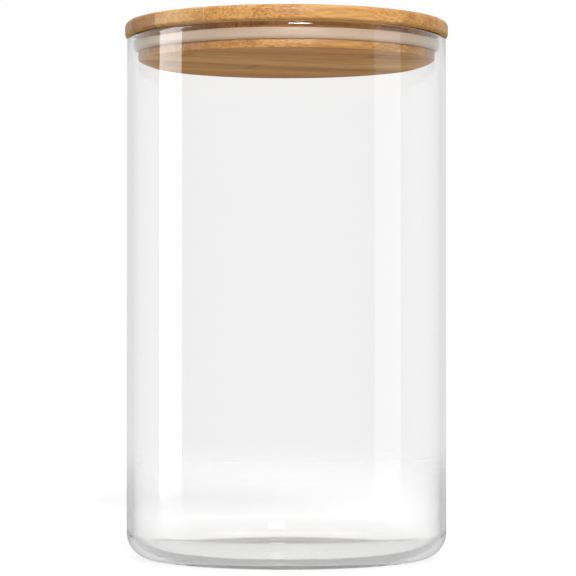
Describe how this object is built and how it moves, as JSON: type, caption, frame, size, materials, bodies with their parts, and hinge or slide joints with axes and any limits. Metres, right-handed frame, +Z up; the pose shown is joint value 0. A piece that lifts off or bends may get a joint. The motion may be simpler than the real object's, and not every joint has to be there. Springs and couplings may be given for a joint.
{
  "type": "glass storage jar",
  "caption": "Tall straight-sided clear glass storage jar with a rounded foot and a press-in round bamboo lid that carries a silicone seal ring.",
  "frame": {"origin": "centre of the foot, on the surface the jar stands on", "axes": "+Z up the jar's axis towards the lid, -Y towards the front, the lid's grain runs 19 degrees from +X towards +Y"},
  "size_m": [0.152, 0.152, 0.251],
  "materials": {
    "clear_glass": "clear smooth glass",
    "silicone": "translucent silicone, satin",
    "bamboo_pale": "oiled bamboo, satin",
    "bamboo_honey": "oiled bamboo, satin",
    "bamboo_brown": "oiled bamboo, satin"
  },
  "bodies": {
    "jar": {"glass_jar": "clear_glass"},
    "seal": {"seal_ring": "silicone"},
    "lid": {"lid_top_strip_1": "bamboo_honey", "lid_top_strip_2": "bamboo_pale", "lid_top_strip_3": "bamboo_brown", "lid_top_strip_4": "bamboo_pale", "lid_top_strip_5": "bamboo_honey", "lid_top_strip_6": "bamboo_brown", "lid_plug_strip_1": "bamboo_honey", "lid_plug_strip_2": "bamboo_brown", "lid_plug_strip_3": "bamboo_honey", "lid_plug_strip_4": "bamboo_pale", "lid_plug_strip_5": "bamboo_brown", "lid_plug_strip_6": "bamboo_honey", "lid_plug_strip_7": "bamboo_brown"}
  },
  "joints": [
    {"name": "lid_lift", "type": "slide", "parent": "jar", "child": "seal", "axis": [0, 0, 1], "range_m": [0, 0.1]},
    {"name": "lid_turn", "type": "hinge", "parent": "seal", "child": "lid", "pos_m": [0, 0, 0.2385], "axis": [0, 0, 1], "continuous": true}
  ]
}
